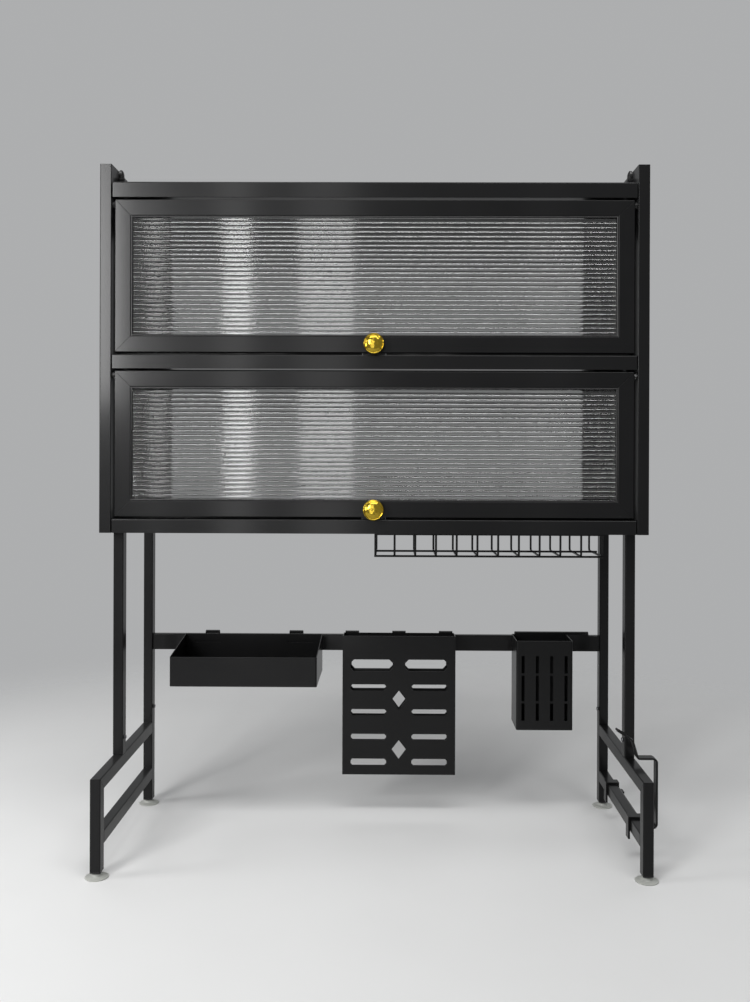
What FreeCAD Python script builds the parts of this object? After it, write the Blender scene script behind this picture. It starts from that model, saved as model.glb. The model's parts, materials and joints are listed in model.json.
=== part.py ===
import FreeCAD, Part
import math
import os

# Dish drainer cabinet: a free-standing rack that straddles a sink.
# Two welded base frames and four posts carry a closed cabinet with two flip-up doors.
# A rail below the cabinet carries a tray, a board holder and a cutlery cage.
# Millimetres, +Z up, -Y towards the user. Z = 0 is the worktop.

V = FreeCAD.Vector

# Overall sizes
cabinet_width = 850.0
cabinet_top = 1075.0
cabinet_bottom = 504.0
base_depth = 335.0
base_height = 148.0

# Folded sheet of the side panels and its distance from the posts
sheet = 1.0
bend = 1.0
panel_post_gap = 10.0

# Rectangular steel tube used for legs, bars and posts
tube_wide = 16.0
tube_deep = 20.0
tube_wall = 1.2
tube_corner = 1.2
frame_half_width = cabinet_width / 2 - sheet - panel_post_gap

# Feet
pad_radius = 17.5
pad_height = 6.5
pad_edge = 0.8
pad_edge_high = 1.2
pad_shoulder = 8.5
pad_shoulder_high = 3.0
pad_crown = 7.0
stud_radius = 4.0
leg_lift = 11.0
plug_flange = 2.0
plug_depth = 14.0
plug_play = 0.2

# Posts: each stands on the base over a spigot and is held by one screw
spigot_rise = 40.0
spigot_drop = 30.0
joint_screw_rise = 26.0
post_top = cabinet_top - 13.0
cap_rise = 17.0
cap_flange = 2.4
cap_plug = 10.0
cap_rings = [(5.6, cap_flange), (5.2, 10.0), (4.2, 14.0), (2.2, cap_rise)]

# Places along the depth of the base
base_front = -base_depth / 2
base_back = base_depth / 2
front_post_front = -47.0
front_post_back = front_post_front + tube_deep
rear_post_front = base_back - tube_deep
post_outer = frame_half_width
post_inner = frame_half_width - tube_wide
lower_bar_drop = 82.0
lower_bar_top = base_height - lower_bar_drop

# Side panels
pillar_wide = 18.0
pillar_front = -88.5
panel_rear_flange = 55.0
panel_edge_flange = 8.5
panel_weld_flange = 7.0
panel_back = base_back + sheet

# Shelves and roof
shelf_sheet = 1.2
shelf_height = 22.0
roof_height = 24.0
roof_rear_height = 35.0
roof_drop = 27.0
shelf_lip = 26.0
stiffener_front = 20.0
stiffener_wide = 20.0
rail_side_gap = 1.5
rail_front = pillar_front + 1.0
post_notch_gap = 0.5
shelf_rear = base_back - 1.0
slot_wide = 8.0
slot_long = 78.0
slot_pitch = 92.0
slot_margin = 1.5
slots_across = 8

# Doors
door_gap = 3.4
door_side_gap = 5.0
door_thick = 14.0
door_front = pillar_front + 2.0
door_back = door_front + door_thick
stile = 25.0
frame_wall = 1.3
chamber = 18.0
panel_slot = 5.6
edge_chamfer = 0.8
hinge_drop = 7.0
hinge_depth = door_thick / 2
pin_radius = 2.5
pin_play = 0.05
bush_radius = 5.5
bush_body = 4.0
bush_play = 0.6
pin_reach = 5.0

# Fluted panels
panel_base = 3.6
rib_pitch = 7.07
rib_rise = 0.8
panel_play = 0.5
panel_grip = stile - chamber - panel_play

# Knobs and catches
knob_radius = 16.0
knob_length = 24.0
knob_neck = 5.5
knob_base = 7.0
knob_bore = 8.0
knob_waist_at = 4.0
knob_flare_at = 9.0
knob_rim_at = 14.0
knob_rim_wide = 3.0
knob_dome_step = 1.8
knob_dome_at = 18.4
screw_radius = 2.1
strike_wide = 34.0
strike_high = 6.5
strike_thick = 1.0
strike_rise = 0.6
catch_wide = 36.0
catch_deep = 12.0
catch_high = 11.0
catch_corner = 1.5

# Accessory rail
rail_rise = 129.0
rail_bottom = base_height + rail_rise
rail_high = 28.0
rail_deep = 12.0
rail_wall = 1.2
rail_y = rear_post_front + (tube_deep - rail_deep) / 2
rail_top = rail_bottom + rail_high

# Hooks over the rail: their round bend stands on the chamfered corners of the rail
hook_play = 0.3
hook_bend = rail_deep / 2
hook_crown = hook_bend - tube_corner + hook_play
hook_drop = 16.0
hook_wide = 24.0
accessory_back = rail_y - hook_play

# Utensil tray
tray_side_gap = 59.0
tray_wide = 244.0
tray_left = tray_side_gap - post_inner
tray_right = tray_left + tray_wide
tray_front = rail_y - 132.0
tray_bottom = rail_top - 63.5
tray_front_high = 48.5
tray_back_top = rail_top + 1.0
tray_sheet = 1.2
corner_round = 3.0
tray_hook_inset = 35.0
tray_slit_inset = 17.0
tray_slit_long = 46.0
tray_slit_high = 3.5
tray_slit_drop = 15.5
drain_wide = 6.0
drain_inset = 22.0
tray_drains = 6

# Board holder
holder_middle = 41.5
holder_wide = 196.0
holder_left = holder_middle - holder_wide / 2
holder_right = holder_middle + holder_wide / 2
holder_front = rail_y - 48.5
holder_foot = 11.0
holder_top = rail_top + 6.5
holder_back_top = rail_top + 4.0
holder_bottom = holder_top - 240.5
holder_back_bend = rail_bottom - 12.0
holder_hook_inset = 2.5
holder_margin = 14.0
holder_row_drop = 89.4
holder_row_pitch = 43.0
holder_row_long = 62.0
holder_row_high = 10.8
holder_grip_drop = 51.0
holder_grip_long = 73.0
holder_grip_high = 20.4
holder_back_shift = 4.0
diamond_half_wide = 12.8
diamond_half_high = 16.3

# Cutlery cage
cage_plate_gap = 19.0
cage_plate_right = post_inner - cage_plate_gap
cage_right = cage_plate_right - 40.0
cage_wide = 96.5
cage_left = cage_right - cage_wide
cage_front = rail_y - 69.5
cage_top = rail_top + 3.0
cage_bottom = cage_top - 152.5
cage_hook_drop = 24.0
cage_slot_wide = 5.4
cage_slot_margin = 11.5
cage_slots_across = 4
cage_slot_tops = [25.6, 59.2, 106.7]
cage_slot_highs = [29.8, 43.7, 29.8]

# Glass rack below the cabinet
glass_side_gap = 37.5
glass_wide = 358.0
glass_right = post_inner - glass_side_gap
glass_left = glass_right - glass_wide
glass_front = -50.0
glass_depth = 104.0
glass_drop = 35.3
glass_bars = 12
glass_second = 60.0
wire = 3.4
weld_sink = 0.5
tab_thick = 1.5
tab_margin = 6.0

# Side rack on the right base frame
strip = 3.0
strip_wide = 16.0
rack_front = -88.0
rack_rear = 74.0
rack_reach = 26.5
rack_wall_x = frame_half_width + rack_reach
rack_top = base_height + 12.0
rack_floor = lower_bar_top - 15.7
rack_leg_bottom = lower_bar_top - 31.0
rack_bend = 5.0
rack_arm_bend = 2.0
rack_foot = 12.0
rack_rod = 4.0

# Screws and facets
bar_sides = 6
pin_sides = 16
cap_sides = 8
pad_sides = 16
knob_sides = 24
head_across = 7.0
head_high = 3.0
hole_play = 0.35
thread_play = 0.02

origin_x = (rack_wall_x - cabinet_width / 2) / 2


# Small building blocks
def block(x0, x1, y0, y1, z0, z1):
    return Part.makeBox(x1 - x0, y1 - y0, z1 - z0, V(x0, y0, z0))


def moved(shape, x=0.0, y=0.0, z=0.0):
    copy = shape.copy()
    copy.translate(V(x, y, z))
    return copy


def turned(shape, axis, degrees, centre=None):
    copy = shape.copy()
    copy.rotate(centre or V(0, 0, 0), axis, degrees)
    return copy


def mirrored(shape):
    return shape.mirror(V(0, 0, 0), V(1, 0, 0))


def joined(shapes):
    first = shapes[0]
    if len(shapes) == 1:
        return first
    return first.multiFuse(shapes[1:]).removeSplitter()


def prism(points, direction):
    wire_loop = Part.makePolygon(points + [points[0]])
    return Part.Face(wire_loop).extrude(direction)


def lengthwise_edges(shape, axis):
    found = []
    for edge in shape.Edges:
        if len(edge.Vertexes) != 2:
            continue
        run = edge.Vertexes[1].Point - edge.Vertexes[0].Point
        if run.Length > 0 and abs(run.dot(axis)) / run.Length > 0.9999:
            found.append(edge)
    return found


def bevelled(shape, axis, size):
    return shape.makeChamfer(size, lengthwise_edges(shape, axis))


# Hollow rectangular tube, its length along the given axis
def tube(x0, x1, y0, y1, z0, z1, axis, wall=tube_wall):
    outer = bevelled(block(x0, x1, y0, y1, z0, z1), axis, tube_corner)
    gap_x = 0.0 if axis.x else wall
    gap_y = 0.0 if axis.y else wall
    gap_z = 0.0 if axis.z else wall
    inner = block(x0 + gap_x, x1 - gap_x, y0 + gap_y, y1 - gap_y, z0 + gap_z, z1 - gap_z)
    return outer.cut(inner)


# Faceted bar between two points, used for wire, rods and screw shanks
def bar(start, end, radius, sides=bar_sides):
    run = end - start
    turn = math.pi / sides
    ring = []
    for k in range(sides):
        angle = 2 * math.pi * k / sides + turn
        ring.append(V(radius * math.cos(angle), radius * math.sin(angle), 0))
    shape = prism(ring, V(0, 0, run.Length))
    shape.Placement = FreeCAD.Placement(start, FreeCAD.Rotation(V(0, 0, 1), run))
    return shape


# Bent bar: each corner is mitred in the plane that halves it
def bent_bar(points, radius, sides=bar_sides):
    pieces = []
    for k in range(len(points) - 1):
        a, b = points[k], points[k + 1]
        along = (b - a).normalize()
        stretch = radius * 1.2
        start = a - along * stretch if k else a
        end = b + along * stretch if k < len(points) - 2 else b
        piece = bar(start, end, radius, sides)
        if k:
            piece = trimmed(piece, a, (along + (a - points[k - 1]).normalize()))
        if k < len(points) - 2:
            piece = trimmed(piece, b, (along + (points[k + 2] - b).normalize()) * -1)
        pieces.append(piece)
    return pieces[0].multiFuse(pieces[1:])


def trimmed(shape, point, keep_side):
    size = 60.0
    cutter = Part.makeBox(2 * size, 2 * size, size, V(-size, -size, -size))
    cutter.Placement = FreeCAD.Placement(point, FreeCAD.Rotation(V(0, 0, 1), keep_side))
    return shape.cut(cutter)


# Points that round a corner of a polygon into an arc of the given radius
def corner_edges(points, radii):
    starts, ends, arcs = [], [], []
    for k, point in enumerate(points):
        before = (points[k - 1] - point).normalize()
        after = (points[(k + 1) % len(points)] - point).normalize()
        radius = radii[k]
        if radius <= 0:
            starts.append(point)
            ends.append(point)
            arcs.append(None)
            continue
        half = before.getAngle(after) / 2
        reach = radius / math.tan(half)
        centre = point + (before + after).normalize() * (radius / math.sin(half))
        middle = centre + (point - centre).normalize() * radius
        starts.append(point + before * reach)
        ends.append(point + after * reach)
        arcs.append(Part.Arc(starts[-1], middle, ends[-1]).toShape())
    edges = []
    for k in range(len(points)):
        if arcs[k]:
            edges.append(arcs[k])
        following = starts[(k + 1) % len(points)]
        if (following - ends[k]).Length > 1e-6:
            edges.append(Part.LineSegment(ends[k], following).toShape())
    return edges


# Section of a folded sheet: the path is one skin, the sheet lies to the left of it.
# The radii are those inside each bend; the outside of a bend is rounder by the sheet.
def folded_section(path, thick, radii, normal):
    directions = []
    for k in range(len(path) - 1):
        directions.append((path[k + 1] - path[k]).normalize())
    sides = [normal.cross(d) for d in directions]
    offset = [path[0] + sides[0] * thick]
    near, far = [0.0], [0.0]
    for k in range(1, len(path) - 1):
        share = 1.0 + sides[k - 1].dot(sides[k])
        offset.append(path[k] + (sides[k - 1] + sides[k]) * (thick / share))
        left_turn = directions[k - 1].cross(directions[k]).dot(normal) > 0
        inside = radii[k - 1]
        outside = inside + thick if inside is not None else 0.0
        near.append(outside if left_turn else inside or 0.0)
        far.append(inside or 0.0 if left_turn else outside)
    offset.append(path[-1] + sides[-1] * thick)
    near.append(0.0)
    far.append(0.0)
    loop = path + offset[::-1]
    return Part.Face(Part.Wire(corner_edges(loop, near + far[::-1])))


def folded(path, thick, radii, normal, length):
    return folded_section(path, thick, radii, normal).extrude(normal * length)


# Faceted hole cutter whose flats lie at the given radius
def drill(centre, direction, radius, length, sides=bar_sides):
    half = V(direction).normalize() * (length / 2)
    return bar(centre - half, centre + half, radius / math.cos(math.pi / sides), sides)


# Faceted turned body about +Z through rings of the given radius and height
def lathe(profile, sides):
    rings = []
    for radius, height in profile:
        ring = []
        for k in range(sides):
            angle = 2 * math.pi * (k + 0.5) / sides
            ring.append(V(radius * math.cos(angle), radius * math.sin(angle), height))
        rings.append(ring)
    loops = [rings[0], rings[-1]]
    for low, high in zip(rings, rings[1:]):
        for k in range(sides):
            n = (k + 1) % sides
            loops.append([low[k], low[n], high[n], high[k]])
    faces = [Part.Face(Part.makePolygon(loop + [loop[0]])) for loop in loops]
    return Part.Solid(Part.Shell(faces))


# Screw: hexagon head, shank pointing along the direction, seat under the head
def screw(seat, direction, length, radius=screw_radius):
    along = V(direction).normalize()
    shank = bar(seat, seat + along * length, radius)
    head = bar(seat - along * head_high, seat, head_across / 2, 6)
    return head.fuse(shank)


# Base frames
def front_leg():
    z_top = base_height
    body = tube(-post_outer, -post_inner, base_front, base_front + tube_deep, leg_lift, z_top, V(0, 0, 1))
    return body.cut(mitre_wedge(1))


def mitre_wedge(side):
    low = base_height - tube_deep
    corner = V(-post_outer - 1, base_front, base_height)
    inner = V(-post_outer - 1, base_front + tube_deep, low)
    if side > 0:
        points = [corner + V(0, -1, 1), inner + V(0, 1, -1), inner + V(0, 1, tube_deep + 1)]
    else:
        points = [corner + V(0, -1, 1), inner + V(0, 1, -1), inner + V(0, -tube_deep - 1, -1)]
    return prism(points, V(tube_wide + 2, 0, 0))


def top_bar():
    body = tube(
        -post_outer, -post_inner, base_front, rear_post_front,
        base_height - tube_deep, base_height, V(0, 1, 0),
    )
    return body.cut(mitre_wedge(-1))


def lower_bar():
    return tube(
        -post_outer, -post_inner, base_front + tube_deep, rear_post_front,
        lower_bar_top - tube_deep, lower_bar_top, V(0, 1, 0),
    )


def rear_leg():
    return tube(-post_outer, -post_inner, rear_post_front, base_back, leg_lift, base_height, V(0, 0, 1))


def leg_centres():
    x = post_outer - tube_wide / 2
    y_front = base_front + tube_deep / 2
    y_back = base_back - tube_deep / 2
    return [V(-x, y_front, 0), V(x, y_front, 0), V(-x, y_back, 0), V(x, y_back, 0)]


def post_centres():
    x = post_outer - tube_wide / 2
    y_front = front_post_front + tube_deep / 2
    y_back = base_back - tube_deep / 2
    return [V(-x, y_front, 0), V(x, y_front, 0), V(-x, y_back, 0), V(x, y_back, 0)]


def foot_pad():
    profile = [(pad_radius - pad_edge, 0), (pad_radius, pad_edge_high)]
    profile += [(pad_shoulder, pad_shoulder_high), (pad_crown, pad_height)]
    return lathe(profile, pad_sides)


def foot_stud():
    return bar(V(0, 0, pad_height), V(0, 0, leg_lift - plug_flange), stud_radius)


def end_plug(flange):
    hollow_x = tube_wide - 2 * (tube_wall + plug_play)
    hollow_y = tube_deep - 2 * (tube_wall + plug_play)
    body = block(-hollow_x / 2, hollow_x / 2, -hollow_y / 2, hollow_y / 2, flange, flange + plug_depth)
    cap = block(-tube_wide / 2, tube_wide / 2, -tube_deep / 2, tube_deep / 2, 0, flange)
    return bevelled(cap, V(0, 0, 1), tube_corner).fuse(body)


# Posts
def post(centre, holes):
    body = tube(
        centre.x - tube_wide / 2, centre.x + tube_wide / 2, centre.y - tube_deep / 2,
        centre.y + tube_deep / 2, base_height, post_top, V(0, 0, 1),
    )
    inward = V(1, 0, 0) if centre.x < 0 else V(-1, 0, 0)
    face = centre + inward * (tube_wide / 2)
    cutters = []
    for height in holes:
        cutters.append(drill(face + V(0, 0, height), inward, screw_radius + thread_play, 4 * tube_wall))
    return body.cut(Part.makeCompound(cutters))


def spigot(centre):
    hollow_x = tube_wide - 2 * (tube_wall + plug_play)
    hollow_y = tube_deep - 2 * (tube_wall + plug_play)
    z0 = base_height - spigot_drop if centre.y > 0 else base_height
    body = block(
        centre.x - hollow_x / 2, centre.x + hollow_x / 2,
        centre.y - hollow_y / 2, centre.y + hollow_y / 2, z0, base_height + spigot_rise,
    )
    face = V(centre.x, centre.y, base_height + joint_screw_rise)
    return body.cut(drill(face, V(1, 0, 0), screw_radius + thread_play, tube_wide))


def post_cap():
    hollow_x = tube_wide - 2 * (tube_wall + plug_play)
    hollow_y = tube_deep - 2 * (tube_wall + plug_play)
    plug = block(-hollow_x / 2, hollow_x / 2, -hollow_y / 2, hollow_y / 2, -cap_plug, 0)
    cover = block(-tube_wide / 2, tube_wide / 2, -tube_deep / 2, tube_deep / 2, 0, cap_flange)
    return joined([plug, bevelled(cover, V(0, 0, 1), tube_corner), lathe(cap_rings, cap_sides)])


# Heights of the three front rails and of the doors between them
roof_top = cabinet_top - roof_drop
roof_bottom = roof_top - roof_height
bottom_shelf_top = cabinet_bottom + shelf_height
door_space = roof_bottom - bottom_shelf_top - shelf_height - 4 * door_gap
upper_door_high = door_space * 0.511
lower_door_high = door_space - upper_door_high
upper_door_bottom = roof_bottom - door_gap - upper_door_high
middle_shelf_top = upper_door_bottom - door_gap
middle_shelf_bottom = middle_shelf_top - shelf_height
lower_door_bottom = bottom_shelf_top + door_gap
door_half = cabinet_width / 2 - pillar_wide - door_side_gap
pillar_inner = cabinet_width / 2 - pillar_wide
rail_half = pillar_inner - rail_side_gap
shelf_screw_drop = 11.0


# Plan of a shelf: wide in front of the front posts, narrower between the posts
def shelf_plan(inset, z0, z1):
    front = block(
        -rail_half + inset, rail_half - inset, rail_front + inset,
        front_post_front - post_notch_gap - inset, z0, z1,
    )
    rear = block(-post_inner + inset, post_inner - inset, rail_front + inset, shelf_rear - inset, z0, z1)
    return front.fuse(rear)


def shelf_shell(top, height):
    outer = shelf_plan(0, top - height, top).removeSplitter()
    nose = []
    for edge in lengthwise_edges(outer, V(1, 0, 0)):
        point = edge.CenterOfMass
        if abs(point.y - rail_front) < 0.01 and point.z > top - 1:
            nose.append(edge)
    outer = outer.makeFillet(bend + shelf_sheet, nose)
    hollow = shelf_plan(shelf_sheet, top - height + shelf_sheet, top - shelf_sheet)
    mouth = block(
        -post_inner + shelf_sheet, post_inner - shelf_sheet, rail_front + shelf_lip,
        shelf_rear - shelf_lip, top - height - 1, top - height + 2 * shelf_sheet,
    )
    return outer.cut(hollow).cut(mouth).fuse(stiffener(top, height)).removeSplitter()


# Folded channel welded under the floor of a shelf from side to side
def stiffener(top, height):
    half = post_inner - shelf_sheet / 2
    y0 = stiffener_front
    y1 = stiffener_front + stiffener_wide
    outer = block(-half, half, y0, y1, top - height, top - shelf_sheet / 2)
    inner = block(
        -half, half, y0 + shelf_sheet, y1 - shelf_sheet, top - height + shelf_sheet, top - shelf_sheet,
    )
    return outer.cut(inner)


def shelf_screw_places(top):
    places = []
    for centre in post_centres():
        side = 1 if centre.x > 0 else -1
        places.append((V(side * (post_inner - shelf_sheet), centre.y, top - shelf_screw_drop), V(side, 0, 0)))
    return places


def shelf_holes(shape, top):
    cutters = []
    for seat, out in shelf_screw_places(top):
        cutters.append(drill(seat, out, screw_radius + hole_play, 4 * shelf_sheet))
    return shape.cut(Part.makeCompound(cutters))


def drain_slots(top):
    cutters = []
    span = (slots_across - 1) * slot_pitch
    starts = [
        stiffener_front - slot_margin - slot_long,
        stiffener_front + stiffener_wide + slot_margin,
    ]
    for y in starts:
        for k in range(slots_across):
            x = -span / 2 + k * slot_pitch
            slot = block(
                x - slot_wide / 2, x + slot_wide / 2, y, y + slot_long, top - 3 * shelf_sheet, top + 1,
            )
            cutters.append(bevelled(slot, V(0, 0, 1), slot_wide * 0.29))
    return Part.makeCompound(cutters)


def roof():
    shell = shelf_shell(roof_top, roof_height)
    rear = block(
        -post_inner, post_inner, shelf_rear - shelf_sheet, shelf_rear,
        roof_top - roof_rear_height, roof_top - roof_height,
    )
    return shelf_holes(joined([shell, rear]), roof_top)


def shelf(top):
    return shelf_holes(shelf_shell(top, shelf_height).cut(drain_slots(top)), top)


def shelf_screws():
    screws = []
    for top in (roof_top, middle_shelf_top, bottom_shelf_top):
        for seat, out in shelf_screw_places(top):
            screws.append(screw(seat, out, shelf_sheet + tube_wall + 6))
    return Part.makeCompound(screws)


# Side panels
panel_screw_heights = [cabinet_bottom + 60, (cabinet_top + cabinet_bottom) / 2, cabinet_top - 60]


def side_panel():
    half = cabinet_width / 2
    path = [
        V(pillar_inner + panel_weld_flange, front_post_front, cabinet_bottom),
        V(pillar_inner, front_post_front, cabinet_bottom),
        V(pillar_inner, pillar_front, cabinet_bottom),
        V(half, pillar_front, cabinet_bottom),
        V(half, panel_back, cabinet_bottom),
        V(half - panel_rear_flange, panel_back, cabinet_bottom),
    ]
    wall = folded(path, sheet, [None, 0, bend, 0], V(0, 0, 1), cabinet_top - cabinet_bottom)
    tabs = []
    for z in (cabinet_bottom, cabinet_top - sheet):
        tabs.append(block(
            pillar_inner + sheet / 2, half - sheet / 2, pillar_front + sheet / 2, front_post_front - sheet / 2,
            z, z + sheet,
        ))
        tabs.append(block(
            half - panel_edge_flange, half - sheet / 2, front_post_front - 1, panel_back - sheet / 2, z, z + sheet,
        ))
    body = joined([wall] + tabs)
    cutters = []
    for z in door_pivot_heights():
        cutters.append(drill(V(pillar_inner, door_front + hinge_depth, z), V(1, 0, 0), bush_body + 0.05, 4 * sheet))
    x = post_outer - tube_wide / 2
    for z in panel_screw_heights:
        cutters.append(drill(V(x, panel_back, z), V(0, 1, 0), screw_radius + hole_play, 6 * sheet))
    return body.cut(Part.makeCompound(cutters))


def door_pivot_heights():
    return [upper_door_bottom + upper_door_high - hinge_drop, lower_door_bottom + lower_door_high - hinge_drop]


def panel_screws():
    screws = []
    for side in (-1, 1):
        x = side * (post_outer - tube_wide / 2)
        for z in panel_screw_heights:
            screws.append(screw(V(x, panel_back, z), V(0, -1, 0), sheet + tube_wall + 6))
    return Part.makeCompound(screws)


def rear_post_panel_holes(shape, side):
    cutters = []
    for z in panel_screw_heights:
        x = side * (post_outer - tube_wide / 2)
        cutters.append(drill(V(x, base_back, z), V(0, 1, 0), screw_radius + thread_play, 4 * tube_wall))
    return shape.cut(Part.makeCompound(cutters))


# Door frame: extruded section with a hollow chamber and two lips that grip the panel
def door_section():
    slot_front = 1.7
    slot_back = slot_front + panel_slot
    outer = [
        V(0, 0, edge_chamfer), V(0, edge_chamfer, 0), V(0, door_thick, 0), V(0, door_thick, chamber),
        V(0, slot_back + 1.5, chamber), V(0, slot_back + 1.5, stile), V(0, slot_back, stile),
        V(0, slot_back, chamber), V(0, slot_front, chamber), V(0, slot_front, stile),
        V(0, edge_chamfer, stile), V(0, 0, stile - edge_chamfer),
    ]
    inner = [
        V(0, frame_wall, frame_wall), V(0, door_thick - frame_wall, frame_wall),
        V(0, door_thick - frame_wall, chamber - frame_wall), V(0, frame_wall, chamber - frame_wall),
    ]
    face = Part.Face(Part.makePolygon(outer + [outer[0]]))
    return face.cut(Part.Face(Part.makePolygon(inner + [inner[0]])))


# Bottom member of a door frame of the given width, both ends cut at 45 degrees
def mitred_member(width):
    long_bar = door_section().extrude(V(width, 0, 0))
    trapezoid = [V(0, -1, 0), V(width, -1, 0), V(width - stile, -1, stile), V(stile, -1, stile)]
    return long_bar.common(prism(trapezoid, V(0, door_thick + 2, 0)))


def door_rails(high):
    wide = 2 * door_half
    low = moved(mitred_member(wide), -door_half, door_front, 0)
    top = moved(mitred_member(wide), -door_half, door_front, 0)
    top = moved(turned(top, V(0, 1, 0), 180), 0, 0, high)
    return low, top


def door_stiles(high):
    member = mitred_member(high)
    left = turned(member, V(0, 1, 0), 90)
    left = moved(left, -door_half, door_front, high)
    right = turned(member, V(0, 1, 0), -90)
    right = moved(right, door_half, door_front, 0)
    return left, right


def corner_key():
    play = 0.2
    low = frame_wall + play
    thick = chamber - 2 * frame_wall - 2 * play
    reach = 46.0
    deep0 = frame_wall + play
    deep1 = door_thick - frame_wall - play
    foot = block(low, reach, deep0, deep1, low, low + thick)
    arm = block(low, low + thick, deep0, deep1, low, reach)
    return joined([foot, arm])


def corner_keys(high):
    key = moved(corner_key(), -door_half, door_front, 0)
    upper = key.mirror(V(0, 0, high / 2), V(0, 0, 1))
    keys = [key, upper, mirrored(key), mirrored(upper)]
    pin_z = high - hinge_drop
    cutter = drill(V(0, door_front + hinge_depth, pin_z), V(1, 0, 0), pin_radius + thread_play, 3 * cabinet_width)
    return Part.makeCompound([k.cut(cutter) for k in keys])


def pivot_cut(shape, high):
    pin_z = high - hinge_drop
    cutter = drill(V(0, door_front + hinge_depth, pin_z), V(1, 0, 0), pin_radius + thread_play, 3 * cabinet_width)
    return shape.cut(cutter)


def knob_cut(shape):
    height = stile / 2
    return shape.cut(drill(V(0, door_front, height), V(0, 1, 0), screw_radius + 0.3, 4 * door_thick))


def hinge_pins(high):
    start = door_half - chamber + frame_wall
    end = pillar_inner + pin_reach
    z = high - hinge_drop
    y = door_front + hinge_depth
    pin = bar(V(start, y, z), V(end, y, z), pin_radius, pin_sides)
    return Part.makeCompound([pin, mirrored(pin)])


def hinge_bushes():
    bushes = []
    for z in door_pivot_heights():
        y = door_front + hinge_depth
        collar = bar(V(door_half + bush_play, y, z), V(pillar_inner, y, z), bush_radius)
        body = bar(V(pillar_inner, y, z), V(pillar_inner + 4, y, z), bush_body)
        bore = drill(V(pillar_inner, y, z), V(1, 0, 0), pin_radius + pin_play, 60, pin_sides)
        bush = collar.fuse(body).cut(bore)
        bushes += [bush, mirrored(bush)]
    return Part.makeCompound(bushes)


# Clear panel with horizontal flutes on its front face
def fluted_panel(high):
    half_wide = door_half - stile + panel_grip
    z_low = stile - panel_grip
    z_high = high - stile + panel_grip
    y_face = door_front + 1.7 + panel_slot - 0.3 - panel_base
    y_back = y_face + panel_base
    count = int((z_high - z_low - 2 * panel_grip) // rib_pitch)
    margin = (z_high - z_low - count * rib_pitch) / 2
    x = -half_wide
    edges = [Part.LineSegment(V(x, y_back, z_low), V(x, y_face, z_low)).toShape()]
    edges.append(Part.LineSegment(V(x, y_face, z_low), V(x, y_face, z_low + margin)).toShape())
    for k in range(count):
        z = z_low + margin + k * rib_pitch
        crest = V(x, y_face - rib_rise, z + rib_pitch / 2)
        edges.append(Part.Arc(V(x, y_face, z), crest, V(x, y_face, z + rib_pitch)).toShape())
    edges.append(Part.LineSegment(V(x, y_face, z_high - margin), V(x, y_face, z_high)).toShape())
    edges.append(Part.LineSegment(V(x, y_face, z_high), V(x, y_back, z_high)).toShape())
    edges.append(Part.LineSegment(V(x, y_back, z_high), V(x, y_back, z_low)).toShape())
    return Part.Face(Part.Wire(edges)).extrude(V(2 * half_wide, 0, 0))


# Turned brass knob: neck, flared rim and a shallow dome
def knob():
    profile = [(knob_base, 0), (knob_neck, knob_waist_at), (knob_neck + 1.5, knob_flare_at)]
    profile += [(knob_radius, knob_rim_at), (knob_radius, knob_rim_at + knob_rim_wide)]
    dome_foot = knob_radius - knob_dome_step
    dome_rise = knob_length - knob_dome_at
    for k in range(3):
        slope = math.radians(33.0 * k)
        profile.append((dome_foot * math.cos(slope), knob_dome_at + dome_rise * math.sin(slope)))
    body = lathe(profile, knob_sides)
    body = body.cut(drill(V(0, 0, 0), V(0, 0, 1), screw_radius + thread_play, 2 * knob_bore + 6))
    return moved(turned(body, V(1, 0, 0), 90), 0, door_front, stile / 2)


def knob_screw():
    return screw(V(0, door_back, stile / 2), V(0, -1, 0), door_thick + knob_bore)


def strike_plate():
    return block(
        -strike_wide / 2, strike_wide / 2, door_back, door_back + strike_thick, strike_rise,
        strike_rise + strike_high,
    )


def magnet_catch(shelf_top):
    y0 = door_back + strike_thick
    body = block(-catch_wide / 2, catch_wide / 2, y0, y0 + catch_deep, shelf_top, shelf_top + catch_high)
    return bevelled(body, V(0, 0, 1), catch_corner)


# Rail for the accessories
def accessory_rail():
    return tube(
        -post_inner, post_inner, rail_y, rail_y + rail_deep, rail_bottom, rail_top, V(1, 0, 0), rail_wall
    )


# Hook strip bent over the rail, seen along X: back wall, round bend, short drop behind
def rail_hook(x0, x1, low):
    over = rail_top + hook_crown
    behind = rail_y + rail_deep + hook_play
    path = [
        V(x0, behind, rail_top - hook_drop), V(x0, behind, over),
        V(x0, accessory_back, over), V(x0, accessory_back, low),
    ]
    return folded(path, tray_sheet, [hook_bend, hook_bend], V(-1, 0, 0), x0 - x1)


# Utensil tray: folded steel pan with a high back, sloping side tops and two hooks
def utensil_tray():
    t = tray_sheet
    back = accessory_back
    front_top = tray_bottom + tray_front_high
    outline = [
        V(tray_left, tray_front, tray_bottom), V(tray_left, back, tray_bottom),
        V(tray_left, back, tray_back_top), V(tray_left, tray_front, front_top),
    ]
    outer = prism(outline, V(tray_wide, 0, 0))
    edges = [e for e in lengthwise_edges(outer, V(0, 0, 1)) if e.CenterOfMass.y < tray_front + 1]
    outer = outer.makeFillet(corner_round, edges)
    mouth = 20.0
    hollow = prism(
        [
            V(tray_left + t, tray_front + t, tray_bottom + t), V(tray_left + t, back - t, tray_bottom + t),
            V(tray_left + t, back - t, tray_back_top + mouth),
            V(tray_left + t, tray_front + t, front_top + mouth),
        ],
        V(tray_wide - 2 * t, 0, 0),
    )
    body = outer.cut(hollow).cut(tray_cuts())
    hooks = []
    for x0 in (tray_left + tray_hook_inset, tray_right - tray_hook_inset - hook_wide):
        hooks.append(rail_hook(x0, x0 + hook_wide, tray_back_top - 3 * t))
    return joined([body] + hooks)


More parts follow.
